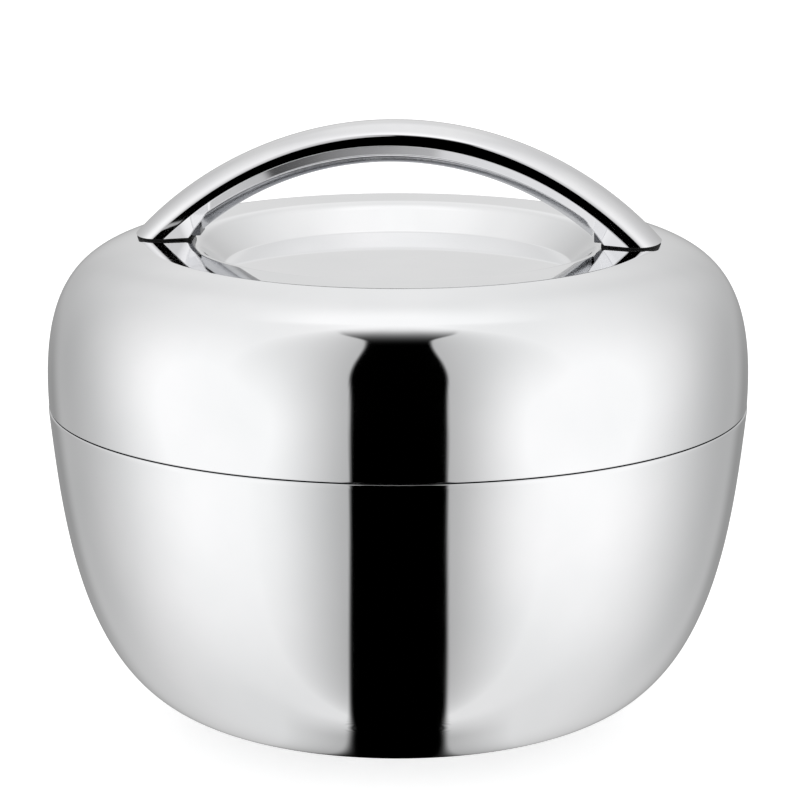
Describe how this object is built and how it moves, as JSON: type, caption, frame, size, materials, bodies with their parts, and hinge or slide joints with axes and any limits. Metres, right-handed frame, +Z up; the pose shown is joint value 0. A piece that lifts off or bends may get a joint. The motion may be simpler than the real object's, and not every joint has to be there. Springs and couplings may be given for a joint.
{
  "type": "insulated serving bowl with lid",
  "caption": "Round double-walled polished steel bowl with a domed double-walled lift-off lid, a dished top and an arched carrying handle",
  "frame": {"origin": "the middle of the ring that the bowl stands on, at the level of the ground", "axes": "+Z up through the bowl and lid, +X along the handle towards its right foot, +Y to the back"},
  "size_m": [0.1798, 0.1798, 0.1545],
  "materials": {
    "polished_steel": "mirror-polished stainless steel",
    "satin_steel": "satin stainless steel, brushed round",
    "collar_plastic": "fine matt polypropylene",
    "seal_silicone": "soft translucent silicone",
    "foam": "rigid foam",
    "foot_silicone": "matt silicone",
    "handle_chrome": "bright chrome-like polish",
    "cast_zinc": "smooth die-cast zinc",
    "pad_silicone": "black silicone",
    "zinc_steel": "zinc-plated steel"
  },
  "bodies": {
    "bowl": {"bowl_outer_shell": "polished_steel", "bowl_inner_liner": "satin_steel", "bowl_collar": "collar_plastic", "bowl_collar_seal": "seal_silicone", "bowl_insulation": "foam", "bowl_base_cap": "satin_steel", "bowl_foot_ring": "foot_silicone"},
    "lid": {"lid_outer_shell": "polished_steel", "lid_inner_shell": "satin_steel", "lid_collar": "collar_plastic", "lid_seal": "seal_silicone", "lid_insulation": "foam", "handle_arch": "handle_chrome", "handle_liner": "handle_chrome", "handle_foot_block_left": "cast_zinc", "handle_foot_block_right": "cast_zinc", "handle_pad_left": "pad_silicone", "handle_pad_right": "pad_silicone", "handle_backing_left": "zinc_steel", "handle_backing_right": "zinc_steel", "handle_screws": "zinc_steel", "handle_washers": "zinc_steel"}
  },
  "joints": [
    {"name": "lid_lift", "type": "slide", "parent": "bowl", "child": "lid", "axis": [0, 0, 1], "range_m": [0, 0.12]}
  ]
}
